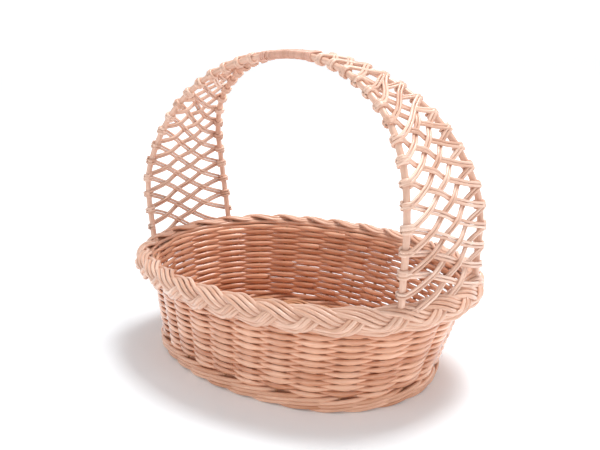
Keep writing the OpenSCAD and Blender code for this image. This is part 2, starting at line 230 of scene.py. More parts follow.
def round_oval(z, off, share):
    """Points at height z on the line `off` outside the wall's oval, at shares of the way round
    from +X, and the outward direction at each. Everything may be an array."""
    share = np.asarray(share, float)
    z, off = np.broadcast_to(z, share.shape), np.broadcast_to(off, share.shape)
    a, b, mid_x, mid_y = wall_line(z)
    e = end_round * b
    side = ((a - e) ** 2 + b * b - e * e) / (2 * (b - e))
    turn = np.arctan2(side - b, a - e)
    end_run = (e + off) * turn
    quarter = end_run + (side + off) * (math.pi / 2 - turn)
    q = (share % 1) * 4
    k = np.floor(q).astype(int)
    d = np.where(k % 2 == 0, q - k, 1 - (q - k)) * quarter
    at_end = d < end_run
    angle = np.where(at_end, d / (e + off), turn + (d - end_run) / (side + off))
    reach = np.where(at_end, e + off, side + off)
    x = np.where(at_end, a - e, 0) + reach * np.cos(angle)
    y = np.where(at_end, 0, b - side) + reach * np.sin(angle)
    flip_x = np.where((k == 1) | (k == 2), -1, 1)
    flip_y = np.where(k > 1, -1, 1)
    points = np.stack([x * flip_x + mid_x, y * flip_y + mid_y, z], -1)
    outward = np.stack([np.cos(angle) * flip_x, np.sin(angle) * flip_y, np.zeros_like(z)], -1)
    return points, outward


def unit(v):
    return v / np.maximum(np.linalg.norm(v, axis=-1, keepdims=True), 1e-12)


def willow_rods(name, rods, sides=8):
    """One piece from many round rods. A rod is (points, radii, side, tone): side is a direction
    across it at each point, and radii may be pairs, along that direction and across it."""
    places, loops, counts, uvs, tones = [], [], [], [], []
    start = 0
    angle = np.arange(sides) * 2 * math.pi / sides
    for points, radii, side, tone in rods:
        points = np.asarray(points, float)
        n = len(points)
        if np.ndim(radii) < 2:
            radii = np.asarray(radii, float).reshape(-1, 1)
        radii = np.broadcast_to(radii, (n, 2))
        run = unit(points[1:] - points[:-1])
        # a narrower ring at each end takes the edge off the cut
        nip = radii[[0, -1]].mean(1) * 0.25
        points = np.vstack([points[:1], points[:1] + run[:1] * nip[0], points[1:-1],
                            points[-1:] - run[-1:] * nip[1], points[-1:]])
        radii = np.vstack([radii[:1] * 0.8, radii, radii[-1:] * 0.8])
        side = np.broadcast_to(np.asarray(side, float), (n, 3))
        side = np.vstack([side[:1], side, side[-1:]])
        n += 2
        along = unit(np.gradient(points, axis=0))
        out = unit(side - (side * along).sum(1, keepdims=True) * along)
        across = np.cross(along, out)
        ring = (points[:, None] + radii[:, :1, None] * np.cos(angle)[None, :, None] * out[:, None]
                + radii[:, 1:, None] * np.sin(angle)[None, :, None] * across[:, None])
        places.append(ring.reshape(-1, 3))
        i, k = np.meshgrid(np.arange(n - 1), np.arange(sides), indexing="ij")
        m = (k + 1) % sides
        here, ahead = i * sides, (i + 1) * sides
        quad = np.stack([here + k, here + m, ahead + m, ahead + k], -1).reshape(-1)
        caps = np.concatenate([np.arange(sides)[::-1], (n - 1) * sides + np.arange(sides)])
        loops.append(np.concatenate([quad, caps]) + start)
        counts.append(np.concatenate([np.full((n - 1) * sides, 4), [sides, sides]]))
        length = np.concatenate([[0], np.cumsum(np.linalg.norm(points[1:] - points[:-1], axis=1))])
        u = np.stack([k, k + 1, k + 1, k], -1).reshape(-1) / sides
        v = np.stack([length[i], length[i], length[i + 1], length[i + 1]], -1).reshape(-1)
        cap_uv = [np.stack([0.5 + 0.1 * np.cos(angle), np.full(sides, length[j])], -1) for j in (0, -1)]
        uvs.append(np.vstack([np.stack([u, v], -1), *cap_uv]))
        tones.append(np.full(n * sides, tone))
        start += n * sides
    places, loops, counts = np.vstack(places), np.concatenate(loops), np.concatenate(counts)
    mesh = bpy.data.meshes.new(name)
    mesh.vertices.add(len(places))
    mesh.vertices.foreach_set("co", places.astype(np.float32).ravel())
    mesh.loops.add(len(loops))
    mesh.loops.foreach_set("vertex_index", loops.astype(np.int32))
    mesh.polygons.add(len(counts))
    mesh.polygons.foreach_set("loop_start", (np.cumsum(counts) - counts).astype(np.int32))
    mesh.polygons.foreach_set("loop_total", counts.astype(np.int32))
    around = mesh.uv_layers.new(name="around").data
    around.foreach_set("uv", np.vstack(uvs).astype(np.float32).ravel())
    shade = mesh.attributes.new("tone", "FLOAT", "POINT").data
    shade.foreach_set("value", np.concatenate(tones).astype(np.float32))
    mesh.update(calc_edges=True)
    mesh.validate()
    piece = bpy.data.objects.new(name, mesh)
    bpy.context.scene.collection.objects.link(piece)
    bpy.context.view_layer.objects.active = piece
    piece.select_set(True)
    bpy.ops.object.shade_smooth_by_angle(angle=math.radians(55))
    piece.select_set(False)
    return piece


def over_under(share, crossings):
    """Phase along a closed round that gains half a turn from each crossing to the next."""
    marks = np.concatenate([[crossings[-1] - 1], crossings, [crossings[0] + 1, crossings[1] + 1]])
    turns = math.pi * np.arange(-1, len(crossings) + 2)
    return np.interp(share, marks, turns)


mat_willow = willow_finish("mat_willow", mat_pale, mat_deep, 0.05, 0.5, 0.6)
stick_lines = [(0, (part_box(n)[0].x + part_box(n)[1].x) / 2) for n in cross_nodes]
stick_lines += [(1, (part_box(n)[0].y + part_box(n)[1].y) / 2) for n in long_nodes]
stick_low, stick_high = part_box(cross_nodes[0])
mat_z = (stick_low.z + stick_high.z) / 2
mat_rise = (stick_high.z - stick_low.z) / 2 + 0.0009
outer_low, outer_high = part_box("base_weave_outer")
mid_low, mid_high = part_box("base_weave_middle")
core_low, core_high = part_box("base_weave_centre")
foot_half = wall_line(0)[1]
mat_edges = [(outer_high.y - outer_low.y) / 2, (mid_high.y - mid_low.y) / 2,
             (core_high.y - core_low.y) / 2]
mat_middle = wall_line(0)[2:]


def mat_round(off, parity, tone):
    """One round of the base, that goes over and under the sticks it meets."""
    share = np.linspace(0, 1, 241)[:-1]
    points = round_oval(0.0, off, share)[0]
    closed = np.vstack([points, points[:1]])
    meets = []
    for axis, value in stick_lines:
        d = closed[:, axis] - value
        for i in np.nonzero(d[:-1] * d[1:] <= 0)[0]:
            if abs(closed[i, 1 - axis] - mat_middle[1 - axis]) > 0.01:
                meets.append((i + d[i] / (d[i] - d[i + 1] + 1e-15)) / len(share))
    share = np.linspace(0, 1, 281) + 0.013 * (tone + parity)
    points = round_oval(0.0, off, share)[0]
    if len(meets) > 3:
        wave = np.cos(over_under(share % 1, np.array(sorted(meets))) + math.pi * parity)
    else:
        wave = np.zeros_like(share)
    points[:, 2] = mat_z + mat_rise * wave
    return points, mat_rod * (1 + 0.12 * np.abs(wave)), np.array([0, 0, 1.0]), tone


mat_dice = random.Random(11)
mat_parts = {"outer": [], "middle": [], "centre": []}
rounds = int((mat_edges[0] - 0.018) / mat_pitch)
for turn in range(rounds):
    reach = mat_edges[0] - mat_pitch * (turn + 0.5)
    zone = "outer" if reach > mat_edges[1] else "middle" if reach > mat_edges[2] else "centre"
    mat_parts[zone].append(mat_round(reach - foot_half, turn % 2, mat_dice.random()))
cross_pitch = stick_lines[1][1] - stick_lines[0][1]
spine_ends = (outer_high.x - outer_low.x) / 2 - (outer_high.y - outer_low.y) / 2 + 0.018
for i, y in enumerate(np.arange(-spine_half, spine_half + 0.0005, spine_pitch)):
    x = np.linspace(-spine_ends, spine_ends, 90)
    z = mat_z + mat_rise * np.cos(math.pi * (x / cross_pitch + i))
    line = np.stack([x + mat_middle[0], np.full_like(x, y + mat_middle[1]), z], -1)
    mat_parts["centre"].append((line, mat_rod, np.array([0, 0, 1.0]), mat_dice.random()))
for zone, rods in mat_parts.items():
    piece = willow_rods("base_mat_" + zone, rods, 7)
    settle(piece, mat_willow, "weave_willow", "base_weave_" + zone)


# ---- stakes ---------------------------------------------------------------------------------
# Twenty-eight rods are pushed into the edge of the base, bent up sharply and stand through the
# whole wall. Their tops are what the border is plaited from.

stake_count = 28
stake_rod = 0.0020
stake_foot = 0.032
half_wall = 0.00525  # from the wall's outer line to the line the stakes stand on
stake_low_z = 0.0040
stake_pale = (0.62, 0.34, 0.20, 1)
stake_deep = (0.40, 0.17, 0.08, 1)
stake_willow = willow_finish("stake_willow", stake_pale, stake_deep, 0.05, 0.5, 0.8)


def stake_path(i):
    """A stake from its foot in the base, round the bend and up the wall."""
    share = (i + 0.5) / stake_count
    (low,), (out,) = round_oval(stake_low_z, -half_wall, [share])
    low[2] = stake_low_z
    heights = np.linspace(stake_low_z + 0.012, wall_top + 0.012, 12)
    standing = round_oval(heights, -half_wall, np.full(12, share))[0]
    inner = low - out * stake_foot
    bend = [low - out * 0.010, low - out * 0.004 + [0, 0, 0.0006],
            low - out * 0.0008 + [0, 0, 0.003], low + (standing[0] - low) * 0.55]
    path = np.vstack([inner, bend, standing])
    run = standing[-1] - low
    return path, np.cross(run, out)


stake_dice = random.Random(5)
stake_sides = {"right": [], "back": [], "left": [], "front": []}
for i in range(stake_count):
    path, across = stake_path(i)
    group = list(stake_sides)[int(((i + 3.5) % stake_count) // 7)]
    stake_sides[group].append((path, np.full(len(path), stake_rod), across, stake_dice.random()))
for side, rods in stake_sides.items():
    piece = willow_rods("standing_stakes_" + side, rods, 8)
    settle(piece, stake_willow, "stake_willow", "stakes_" + side)


# ---- upsett wale ----------------------------------------------------------------------------
# Three rounds of stout weavers, worked three at a time in front of two stakes and behind one,
# lock the stakes upright. From outside they look like a slanting rope around the foot.

wale_rod = 0.0021
wale_rise = 0.0019
wale_rounds = (0.00405, 0.0081, 0.0121)
half_round = stake_count // 2  # a weaver lasts for half the way round
wale_pale = (0.90, 0.54, 0.38, 1)
wale_deep = (0.58, 0.24, 0.12, 1)
wale_willow = willow_finish("wale_willow", wale_pale, wale_deep, 0.12, 0.45, 0.7)


def stake_share(t):
    """Share of the way round, for a place t counted in stakes."""
    return (t + 0.5) / stake_count


wale_dice = random.Random(23)
wale_rods = []
for level, z in enumerate(wale_rounds):
    for strand in range(3):
        for first in (0, half_round):
            begin = first + strand + level
            t = np.linspace(begin - 0.3, begin + half_round + 0.3, half_round * 12)
            phase = 2 * math.pi * (t + strand + level) / 3
            off = 0.00147 + 0.0048 * np.cos(phase) - 0.00107 * np.cos(2 * phase)
            points, outward = round_oval(z, off - half_wall, stake_share(t))
            points[:, 2] = z + wale_rise * np.sin(phase)
            taper = np.linspace(1.06, 0.94, len(t))
            wale_rods.append((points, wale_rod * taper, outward, wale_dice.random()))
settle(willow_rods("upsett_rope", wale_rods, 8), wale_willow, "wale_willow", "upsett_wale")


# ---- woven wall -----------------------------------------------------------------------------
# Single weavers go in front of one stake and behind the next, row on row. A weaver is as long
# as half the basket, thick at its cut end and thin at its tip, and its ends rest inside.

row_pitch = 0.0034
rows_per_band = 3
band_count = 7
weaver_flat = 0.00185  # half thickness through the wall
weaver_thin = 0.00178  # half height where two rows cross
weaver_belly = 0.0031  # half height over a stake
weaver_swing = 0.0029  # how far it leaves the line of the stakes
weaver_tail = 0.36  # how far past its last stake a weaver reaches, in stakes
end_ease = 0.7  # length over which a rod's end is tucked away, in stakes
wall_pale = (0.94, 0.53, 0.35, 1)
wall_deep = (0.55, 0.19, 0.08, 1)
wall_willow = willow_finish("wall_willow", wall_pale, wall_deep, 1.0, 0.45, 0.6)


def sway(share, z):
    """The slight drift of the rows up and down, the same for rows that touch."""
    a = 2 * math.pi * share
    return 0.00045 * np.sin(3 * a + 40 * z) + 0.00035 * np.sin(7 * a + 1.3 - 25 * z)


def tucked(t):
    """1 at the two ends of a rod and 0 between them, as two curves."""
    return (np.clip(1 - (t - t[0]) / end_ease, 0, 1) ** 2,
            np.clip(1 - (t[-1] - t) / end_ease, 0, 1) ** 2)


def weaver(row, begin, end, z, dice, swing_out=1.0):
    """A weaver from stake `begin` to stake `end`, both of which it passes on the inside."""
    t = np.linspace(begin - weaver_tail, end + weaver_tail, int((end - begin) * 10))
    swing = np.cos(math.pi * (t + row))
    swing = np.sign(swing) * np.abs(swing) ** 0.85
    radial = weaver_swing * np.where(swing > 0, swing * swing_out, swing)
    share = stake_share(t)
    tuck, tail = tucked(t)
    radial = radial - 0.0011 * tuck + 0.0004 * tail
    wobble = 0.00022 * np.sin(t * dice.uniform(0.5, 0.9) + dice.uniform(0, 6))
    points, outward = round_oval(z, radial - half_wall, share)
    points[:, 2] = z + sway(share, z) + wobble + 0.0006 * tuck - 0.0006 * tail
    taper = np.linspace(1.08, 0.9, len(t)) * dice.uniform(0.96, 1.04)
    tall = (weaver_thin + (weaver_belly - weaver_thin) * np.abs(swing) ** 1.15) * taper
    return points, np.stack([weaver_flat * taper, tall], -1), outward, dice.random()


def weave_row(row, z, dice, **swings):
    """Two weavers that together go once round."""
    starts = [dice.randrange(0, half_round)]
    starts.append(starts[0] + dice.choice((half_round - 2, half_round, half_round + 2)))
    starts = [s + (s + row + 1) % 2 for s in starts]
    ends = [starts[1], starts[0] + stake_count]
    return [weaver(row, b, e, z, dice, **swings) for b, e in zip(starts, ends)]


wall_dice = random.Random(77)
for band in range(band_count):
    node = f"weave_band_{band + 1}"
    low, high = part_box(node)
    rods = []
    for k in range(rows_per_band):
        row = band * rows_per_band + k
        z = low.z + (high.z - low.z) * (k + 0.5) / rows_per_band
        rods += weave_row(row, z, wall_dice)
    settle(willow_rods(f"woven_rows_{band + 1}", rods, 9), wall_willow, "weave_willow", node)


# ---- plaited border -------------------------------------------------------------------------
# The stake tops are turned down outside and plaited in three strands of four rods round the
# rim. The plait lies over the outer side of the rim and rolls over its crest to the inside.

plait_rod = 0.0021
plait_lane = 0.0040  # from one rod of a strand to the next
plait_swing = 0.0102
plait_drop = 0.0024  # the plait sits this far below the middle of its bed
plait_up_share = 0.35  # share of a lap that a strand spends going up
plait_depth = 0.0021  # from its middle layer to the rods on top
plait_tuck = 0.0036  # how deep a rod's ends go
rods_squeeze = 0.28  # the rods of a strand lie this much closer where it rises
rods_stagger = 0.0009  # and step in and out by this
core_rod = 0.0024
core_places = ((0.0045, 0.0035), (0.0078, 0.0085), (0.0082, 0.0135), (0.0045, 0.0165),
               (-0.0005, 0.0165), (0.0025, 0.0100))  # out from the wall's line, and up
border_pale = (0.91, 0.61, 0.47, 1)
border_deep = (0.62, 0.31, 0.19, 1)
border_willow = willow_finish("border_willow", border_pale, border_deep, 0.6, 0.4, 0.6)
border_low, border_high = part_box("plait_border")
border_rise = border_high.z - border_low.z
border_reach = (border_high.x - border_low.x) / 2 - wall_line(wall_top)[0]

# The plait's middle layer in section: out from the wall's outer line, and up from its top.
bed_keys = np.array([(0.0070, 0.0004), (0.0112, 0.0050), (0.0130, 0.0105), (0.0120, 0.0162),
                     (0.0080, 0.0206), (0.0020, 0.0219), (-0.0036, 0.0198), (-0.0072, 0.0152)])
bed_keys *= [border_reach / 0.017, border_rise / 0.026]


def through(keys, t):
    """Smooth curve through all key points but the first and the last, at t counted in keys."""
    i = np.clip(np.floor(t).astype(int), 0, len(keys) - 4)
    f = (t - i)[:, None]
    a, b, c, d = keys[i], keys[i + 1], keys[i + 2], keys[i + 3]
    return 0.5 * (2 * b + (c - a) * f + (2 * a - 5 * b + 4 * c - d) * f * f
                  + (3 * b - a - 3 * c + d) * f ** 3)


def run_along(points):
    """Length of a curve up to each of its points."""
    return np.concatenate([[0], np.cumsum(np.linalg.norm(points[1:] - points[:-1], axis=1))])


bed_keys = np.vstack([2 * bed_keys[0] - bed_keys[1], bed_keys, 2 * bed_keys[-1] - bed_keys[-2]])
bed = through(bed_keys, np.linspace(0, len(bed_keys) - 3, 200))
bed_run = run_along(bed)
bed_mid = bed_run[-1] / 2
bed_out = unit(np.gradient(bed, axis=0))
bed_out = np.stack([bed_out[:, 1], -bed_out[:, 0]], -1)
rim_loop = round_oval(wall_top, bed[100, 0], np.linspace(0, 1, 400))[0]
stake_gap = np.linalg.norm(rim_loop[1:] - rim_loop[:-1], axis=1).sum() / stake_count


def on_rim(t, up, depth):
    """Points of the plait: t in stakes along it, up across its face, depth out of its middle
    layer, and the direction out of the face."""
    up = np.clip(up + bed_mid, 0, bed_run[-1])
    x, y = (np.interp(up, bed_run, bed[:, i]) for i in (0, 1))
    nx, ny = (np.interp(up, bed_run, bed_out[:, i]) for i in (0, 1))
    points, outward = round_oval(wall_top, x + nx * depth, stake_share(t))
    points[:, 2] = wall_top + y + ny * depth
    face = outward * nx[:, None]
    face[:, 2] = ny
    return points, face


def plait_wave(phase):
    """Height of a strand across the plait, -1 to 1, at a share of its lap: up quickly and down
    slowly, so the falling part is the long one that shows, with a broad turn at the foot."""
    rising = np.clip(phase / plait_up_share, 0, 1) ** 1.2
    falling = np.clip((phase - plait_up_share) / (1 - plait_up_share), 0, 1) ** 0.92
    return np.where(phase < plait_up_share, -np.cos(math.pi * rising), np.cos(math.pi * falling))


lap_phases = np.linspace(0, 1, 2401)[:-1]
next_strand = plait_wave(lap_phases) - plait_wave((lap_phases + 1 / 3) % 1)
plait_meets = lap_phases[np.nonzero(next_strand * np.roll(next_strand, -1) < 0)[0]]
plait_meets = np.sort(np.concatenate([plait_meets, (plait_meets + 1 / 3) % 1]))
over_at = np.concatenate([[plait_meets[-1] - 1], plait_meets, [plait_meets[0] + 1]])


def plait_over(phase):
    """Depth of a strand, 1 on top and -1 beneath, eased between the places where it crosses the
    other two. It stands out a little less where it rises."""
    over = np.array([-1.0, 0.9, -1.0, 1.0, -1.0, 0.9])
    i = np.clip(np.searchsorted(over_at, phase, side="right") - 1, 0, 4)
    f = (phase - over_at[i]) / (over_at[i + 1] - over_at[i])
    return over[i] + (over[i + 1] - over[i]) * (1 - np.cos(math.pi * f)) / 2


def plait_strand_rod(begin, dice):
    """A rod that joins a strand, moves over a lane each time it turns up, and leaves it."""
    laps = 4
    t = np.linspace(begin, begin + 3 * laps, 3 * laps * 14)
    lap = (t - begin) / 3
    phase, step = lap % 1, np.floor(lap)
    ease = np.clip(phase / 0.16, 0, 1)
    lane = np.where(step > 0, step - 1 + ease * ease * (3 - 2 * ease), 0)
    stack = 1 - np.clip((phase - 0.30) / 0.16, 0, 1) * np.clip((1 - phase) / 0.12, 0, 1)
    depth = plait_depth * plait_over(phase) + rods_stagger * stack * np.cos(math.pi * lane)
    lane = (lane - 1.5) * plait_lane * (1 - rods_squeeze * stack)
    slope = np.arctan(np.gradient(plait_wave(phase) * plait_swing, t * stake_gap))
    up = plait_swing * plait_wave(phase) - plait_drop + lane * np.cos(slope)
    along = t - lane * np.sin(slope) / stake_gap
    tuck, tail = tucked(t)
    points, face = on_rim(along, up, depth - plait_tuck * (tuck + tail))
    radii = plait_rod * np.linspace(1.06, 0.93, len(t)) * dice.uniform(0.95, 1.05)
    return points, radii, face, dice.random()


plait_dice = random.Random(101)
plait_rods = [plait_strand_rod(3 * k + 0.36, plait_dice) for k in range(stake_count)]

# the stake tops packed under the plait; all get the deepest tone, which darkens them as painted shade
# for where they lie under it
for off, up in core_places:
    t = np.linspace(0, stake_count, 281)
    points, outward = round_oval(wall_top, off, stake_share(t))
    points[:, 2] = wall_top + up
    plait_rods.append((points, core_rod, outward, 1.0))
settle(willow_rods("plaited_rim", plait_rods, 9), border_willow, "border_willow", "plait_border")

# four more rows of weaving behind the plait, that show only from inside
wall_rows = band_count * rows_per_band
rim_rows = []
for k in range(4):
    z = wall_top + row_pitch * (k + 0.5)
    rim_rows += weave_row(wall_rows + k, z, plait_dice, swing_out=0.6)
settle(willow_rods("rows_behind_rim", rim_rows, 9), wall_willow, "weave_willow", "plait_border")


# ---- handle hoops ---------------------------------------------------------------------------
# Two stout peeled rods arch from end to end. They stand apart at the rim and meet at the top,
# and their whittled feet are driven down into the wall beside the stakes.

hoop_low, hoop_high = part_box("hoop_front")
hoop_pale = (0.87, 0.58, 0.45, 1)
hoop_deep = (0.55, 0.28, 0.18, 1)
hoop_willow = willow_finish("hoop_willow", hoop_pale, hoop_deep, 0.25, 0.3, 0.8)
hoop_rod = 0.00325
hoop_span = 0.36695  # between the two ends, at the rim
hoop_gap = 0.114  # between the two hoops, at the rim
foot_rods = (0.0014, 0.0019, 0.0024, 0.0029)  # the whittled foot, from its tip up
hoop_rim = border_high.z
hoop_rise = hoop_high.z - hoop_rod - hoop_rim
grip_y = hoop_rod + 0.0002
# each key is a share of the half span, of the half gap and of the rise
hoop_shape = np.array([(1, 1, -0.3), (1, 1, 0), (1.022, 0.965, 0.316), (0.954, 0.735, 0.555),
                       (0.807, 0.505, 0.745), (0.572, 0.295, 0.89), (0.3, 0.095, 0.972),
                       (0, 0, 1), (-0.3, 0.095, 0.972)])
hoop_keys = np.stack([hoop_shape[:, 0] * hoop_span / 2,
                      grip_y + hoop_shape[:, 1] * (hoop_gap / 2 - grip_y),
                      hoop_rim + hoop_shape[:, 2] * hoop_rise], -1)
hoop_t = np.linspace(0, len(hoop_keys) - 3, 241)


hoop_run = run_along(through(hoop_keys, hoop_t))
half_hoop = hoop_run[-1]


def hoop_at(run, end, side):
    """Points of a hoop's middle line, `run` along it from the rim. end is +1 for the right end
    of the basket, and side is +1 for the back hoop."""
    run = np.atleast_1d(run)
    t = np.interp(np.maximum(run, 0), hoop_run, hoop_t)
    points = through(hoop_keys, t)
    points[:, 2] += np.minimum(run, 0)
    return points * [end, side, 1]


def wall_spot(z, y, end):
    """Place on the stake line at the end of the basket, y from the middle."""
    a, b, mid_x = wall_line(z)[:3]
    e = end_round * b
    reach = e - half_wall
    return np.array([mid_x + end * (a - e + math.sqrt(reach ** 2 - y * y)), y, z])


def hoop_rod_path(side):
    """A hoop from its right foot over the top to its left one, and its uneven thickness."""
    ends = []
    for end in (1, -1):
        foot = wall_spot(hoop_low.z, side * hoop_gap / 2 * 0.94, end)
        knee = wall_spot(wall_top, side * hoop_gap / 2, end)
        rise = hoop_at(np.linspace(0, half_hoop, 110), end, side)
        stem = [foot, foot + (knee - foot) * 0.5, knee, knee + (rise[0] - knee) * 0.55]
        ends.append((np.vstack([*stem, rise]), np.concatenate([foot_rods, np.full(110, hoop_rod)])))
    points = np.vstack([ends[0][0], ends[1][0][-2::-1]])
    radii = np.concatenate([ends[0][1], ends[1][1][-2::-1]])
    wave = np.arange(len(points)) * 0.21
    radii = radii * (1 + 0.02 * np.sin(wave + side) + 0.015 * np.sin(wave * 2.3))
    return points, radii


for name, side in (("front", -1), ("back", 1)):
    points, radii = hoop_rod_path(side)
    piece = willow_rods("handle_hoop_" + name, [(points, radii, np.array([0, 1.0, 0.02]), 0.35)], 18)
    settle(piece, hoop_willow, "hoop_willow", "hoop_" + name)


# ---- lashings -------------------------------------------------------------------------------
# The thin lattice rods are wound two and a half times round a hoop wherever they reach it, about
# every two centimetres, and pulled tight.

thin_rod = 0.00145
lash_turns = 2.45
first_lash = 0.0285  # from the rim, along the hoop
lash_pitch = 0.0194
lash_count = 14
lattice_pale = (0.92, 0.66, 0.53, 1)
lattice_deep = (0.62, 0.33, 0.22, 1)
lattice_willow = willow_finish("lattice_willow", lattice_pale, lattice_deep, 0.2, 0.35, 0.4)


def lash_run(k):
    """How far along the hoop lashing k sits."""
    return first_lash + np.asarray(k, float) * lash_pitch


def lashing(k, end, side, dice):
    """One rod wound round a hoop, its turns side by side."""
    a = np.linspace(0, 2 * math.pi * lash_turns, int(lash_turns * 14)) + dice.uniform(0, 6.28)
    run = lash_run(k) + (np.linspace(-0.5, 0.5, len(a))) * lash_turns * thin_rod * 2.06
    run = run + dice.uniform(-0.0006, 0.0006)
    centre = hoop_at(run, end, side)
    along = unit(np.gradient(centre, axis=0))
    out = unit(np.cross(along, [0, 1.0, 0]))
    across = np.cross(along, out)
    ring = out * np.cos(a)[:, None] + across * np.sin(a)[:, None]
    points = centre + ring * (hoop_rod + thin_rod * 0.92)
    return points, thin_rod, ring, dice.random()


lash_dice = random.Random(31)
for end_name, end in (("right", 1), ("left", -1)):
    for side_name, side in (("front", -1), ("back", 1)):
        rods = [lashing(k, end, side, lash_dice) for k in range(lash_count)]
        piece = willow_rods(f"rod_wraps_{side_name}_{end_name}", rods, 7)
        settle(piece, lattice_willow, "lattice_willow", f"lashings_{side_name}_{end_name}")


# ---- lattice --------------------------------------------------------------------------------
# Pairs of thin rods slant between the hoops at both ends, one family rising to the back and one
# to the front. They are woven over and under each other, and the lowest go into the border.

lattice_lift = 0.0015  # out of the panel where one strand goes over another
rim_bulge = 0.0145  # the round end of the rim, out from the line between the hoops
on_hoop = hoop_rod + thin_rod  # from the middle of a hoop to a thin rod that lies on it
lowest_run = -0.014  # the lowest strands go this far down into the border
strands = range(-4, lash_count)


def climb(k, way):
    """Lashings a strand climbs on its way over. way is end times family: +1 is the steeper one."""
    return 3 if k < 6 and way > 0 else 2 if k < 9 else 1


def panel(u, v, end):
    """Points of the panel between the hoops: u from the front hoop to the back one, v counted
    in lashings up from the rim. Low down it follows the round end of the rim."""
    run = lash_run(v)
    front, back = hoop_at(run, end, -1), hoop_at(run, end, 1)
    points = front * (1 - u)[:, None] + back * u[:, None]
    bulge = rim_bulge * np.clip(1 - run / 0.15, 0, 1.3) ** 1.6
    points[:, 0] += end * bulge * 4 * u * (1 - u)
    return points


def panel_out(u, v, end):
    """Direction out of the panel."""
    h = 1e-3
    du = panel(u + h, v, end) - panel(u - h, v, end)
    dv = panel(u, v + h, end) - panel(u, v - h, end)
    return unit(np.cross(du, dv)) * end


def strand_v(k, way, u):
    """Height of a strand at u, flatter where it leaves a hoop."""
    return k + climb(k, way) * (u - 0.30 * np.sin(2 * math.pi * u) / (2 * math.pi))


def crossing_marks(k, way, others):
    """Where strand k meets the strands of the other family, and whether it goes over."""
    u = np.linspace(0.0, 1.0, 801)
    marks = []
    for m in others:
        d = strand_v(k, way, u) - strand_v(m, -way, 1 - u)
        for i in np.nonzero(d[:-1] * d[1:] < 0)[0]:
            marks.append((u[i], 1.0 if (k + m) % 2 else -1.0))
    return sorted(marks)


def lattice_pair(k, family, end, dice):
    """The two rods of one strand. Family +1 rises from the front hoop, -1 from the back one."""
    u = np.linspace(0.0, 1.0, 44)
    way = end * family
    v = strand_v(k, way, u)
    marks = crossing_marks(k, way, strands)
    at = np.array([0.0] + [m[0] for m in marks] + [1.0])
    height = np.array([on_hoop] + [m[1] * family * lattice_lift for m in marks] + [on_hoop])
    i = np.clip(np.searchsorted(at, u, side="right") - 1, 0, len(at) - 2)
    f = np.clip((u - at[i]) / np.maximum(at[i + 1] - at[i], 1e-6), 0, 1)
    f = f * f * (3 - 2 * f)
    lift = height[i] * (1 - f) + height[i + 1] * f
    keep = lash_run(v) > lowest_run
    u, v, lift = u[keep], v[keep], lift[keep]
    across_u = u if family > 0 else 1 - u
    points = panel(across_u, v, end)
    out = panel_out(np.clip(across_u, 0.002, 0.998), v, end)
    along = unit(np.gradient(points, axis=0))
    beside = np.cross(out, along)
    rods = []
    for place in (-1, 1):
        offset = place * thin_rod * 1.07
        rod = points + out * lift[:, None] + beside * offset + out * dice.uniform(-0.0002, 0.0002)
        # both rods lie round the hoops at their ends
        caps = []
        for j, at_top in ((0, False), (-1, True)):
            if not at_top and not keep[0]:
                caps.append(np.zeros((0, 3)))
                continue
            hoop_side = (1 if at_top else -1) * family
            centre = hoop_at(lash_run(v[j]), end, hoop_side)[0]
            away = unit(np.array([0, hoop_side, 0.0]) - out[j] * out[j][1] * hoop_side)
            hoop_way = unit(np.cross(out[j], away))
            turn = np.linspace(0.25, 2.6, 9)[:, None]
            arc = centre + (out[j] * np.cos(turn) + away * np.sin(turn)) * on_hoop
            arc = arc + hoop_way * offset * (1 if np.dot(hoop_way, beside[j]) > 0 else -1)
            caps.append(arc if at_top else arc[::-1])
        rod = np.vstack([caps[0], rod, caps[1]])
        side = np.vstack([np.broadcast_to(out[0], (len(caps[0]), 3)), out,
                          np.broadcast_to(out[-1], (len(caps[1]), 3))])
        rods.append((rod, thin_rod * dice.uniform(0.96, 1.05), side + 0.001, dice.random()))
    return rods


lattice_dice = random.Random(47)
for end_name, end in (("right", 1), ("left", -1)):
    for family_name, family in (("rising", 1), ("falling", -1)):
        rods = []
        for k in strands:
            if -1 < k + climb(k, end * family) < lash_count:
                rods += lattice_pair(k, family, end, lattice_dice)
        piece = willow_rods(f"lattice_{family_name}_{end_name}_rods", rods, 7)
        settle(piece, lattice_willow, "lattice_willow", f"lattice_{family_name}_{end_name}")


# ---- grip -----------------------------------------------------------------------------------
# At the top the two hoops are bound together with a long flat skein, split from a rod and shaved
# thin, wound tightly side by side, with a few thin turns to hold each end.

grip_low, grip_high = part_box("grip_wrap")
skein_wide = 0.0021
skein_thick = 0.00075
end_turn_rod = 0.0010
end_turn_pitch = 0.0027
skein_pale = (0.84, 0.52, 0.41, 1)
skein_deep = (0.50, 0.23, 0.14, 1)
skein_finish = willow_finish("wrap_skein", skein_pale, skein_deep, 0.2, 0.6, 0.2)
grip_half = (grip_high.x - grip_low.x) / 2


def grip_turn(x0, x1, half_wide, half_thick, tone):
    """One turn round both hoops, from x0 to x1."""
    a = np.linspace(0, 2 * math.pi, 29)
    x = np.linspace(x0, x1, 29)
    spine = hoop_at(half_hoop - np.abs(x), 1, 1)
    ring_r = hoop_rod + half_thick
    c, s = np.cos(a), np.sin(a)
    y = spine[:, 1] * np.clip(c * 4.5, -1, 1) + ring_r * c
    points = np.stack([x, y, spine[:, 2] + ring_r * s], -1)
    out = np.stack([np.zeros_like(a), c * np.abs(c) ** 1.5, s], -1)
    return points, np.stack([np.full(29, half_thick), np.full(29, half_wide)], -1), out, tone


